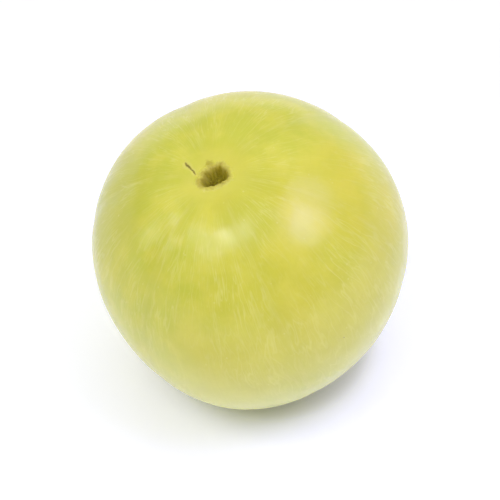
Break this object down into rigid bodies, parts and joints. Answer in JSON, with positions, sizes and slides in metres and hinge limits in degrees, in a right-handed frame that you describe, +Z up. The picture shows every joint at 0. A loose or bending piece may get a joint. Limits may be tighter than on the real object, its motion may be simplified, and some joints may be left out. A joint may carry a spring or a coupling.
{
  "type": "indian gooseberry",
  "caption": "Whole ripe Indian gooseberry: a slightly flattened yellow-green globe with faint furrows, a dark ragged stalk pit on top and a small flat spot to rest on.",
  "frame": {"origin": "on the surface the fruit rests on, under the middle of its outline", "axes": "+Z up; the stalk pit is on top, leaning about 13 degrees towards -X and 7 degrees towards -Y; -Y is the front"},
  "size_m": [0.0354, 0.036, 0.0334],
  "materials": {
    "skin": "satin"
  },
  "bodies": {
    "root": {"fruit": "skin"}
  },
  "joints": []
}
